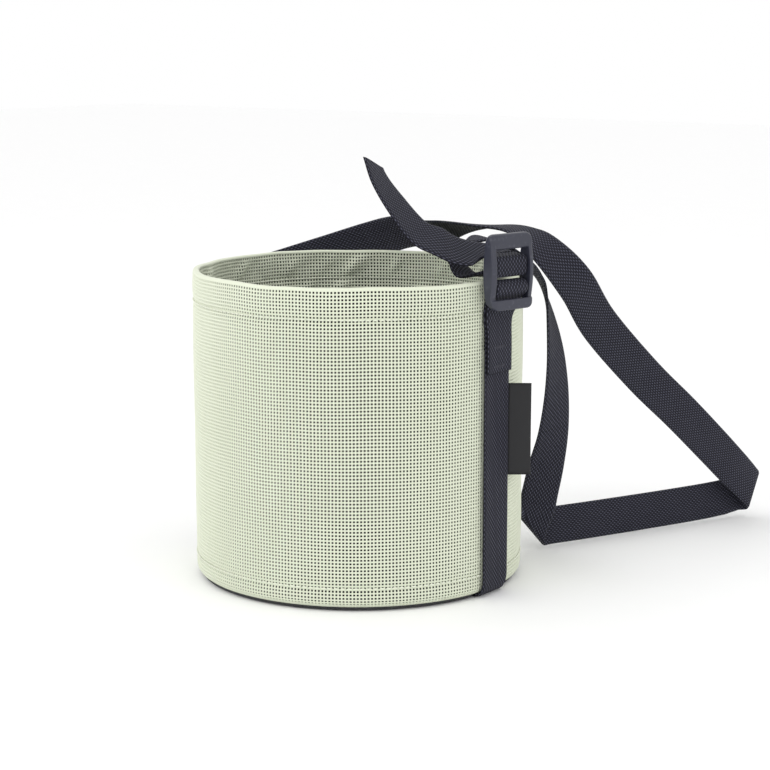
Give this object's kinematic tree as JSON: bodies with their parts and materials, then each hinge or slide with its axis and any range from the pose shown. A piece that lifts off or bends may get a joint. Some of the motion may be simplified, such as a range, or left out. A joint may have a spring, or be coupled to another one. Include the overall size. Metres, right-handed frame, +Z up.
{
  "type": "fruit picking bag",
  "caption": "Small round open-top bag of coated mesh with a felt lining, a webbing cradle, a ladder buckle and an adjustable carry strap.",
  "frame": {"origin": "centre of the base, on the surface that the bag stands on", "axes": "+Z up through the open mouth; +X towards the buckle; the carry strap lies on the +Y side"},
  "size_m": [0.2002, 0.3021, 0.2078],
  "materials": {
    "mesh_cloth": "open woven mesh, vinyl coated, pale sage",
    "lining_felt": "dark non-woven felt",
    "base_cloth": "dark coated cloth",
    "webbing": "navy-charcoal woven webbing",
    "buckle_plastic": "satin moulded acetal, slate",
    "label_cloth": "damask woven label, plain",
    "pale_thread": "bonded polyester thread",
    "navy_thread": "bonded polyester thread"
  },
  "bodies": {
    "bag": {"front_panel": "mesh_cloth", "rear_panel": "mesh_cloth", "lining_wall": "lining_felt", "lining_base": "lining_felt", "base_panel": "base_cloth", "cradle_band": "webbing", "buckle_loop": "webbing", "strap_loop": "webbing", "rim_stitching": "pale_thread", "base_stitching": "pale_thread", "near_band_stitching": "navy_thread", "far_band_stitching": "navy_thread", "near_bartacks": "navy_thread", "far_bartacks": "navy_thread", "label_stitching": "navy_thread"},
    "strap": {"carry_strap": "webbing"},
    "buckle": {"buckle": "buckle_plastic", "threaded_webbing": "webbing"},
    "tail": {"strap_tail": "webbing"},
    "label": {"label": "label_cloth"}
  },
  "joints": [
    {"name": "strap_swing", "type": "hinge", "parent": "bag", "child": "strap", "pos_m": [0, 0, 0.154], "axis": [1, 0, 0], "range_deg": [0, 85]},
    {"name": "buckle_tilt", "type": "hinge", "parent": "bag", "child": "buckle", "pos_m": [0.087, 0, 0.147], "axis": [0.2079, 0.9781, 0], "range_deg": [-8, 15], "stiffness_Nm_per_rad": 0.12},
    {"name": "tail_bend", "type": "hinge", "parent": "buckle", "child": "tail", "pos_m": [0.082, 0, 0.162], "axis": [0.2079, 0.9781, 0], "range_deg": [-10, 55], "stiffness_Nm_per_rad": 0.06},
    {"name": "label_fold", "type": "hinge", "parent": "bag", "child": "label", "pos_m": [0.08017, 0.0108, 0.078], "axis": [0, 0, 1], "range_deg": [-50, 50], "stiffness_Nm_per_rad": 0.001}
  ]
}
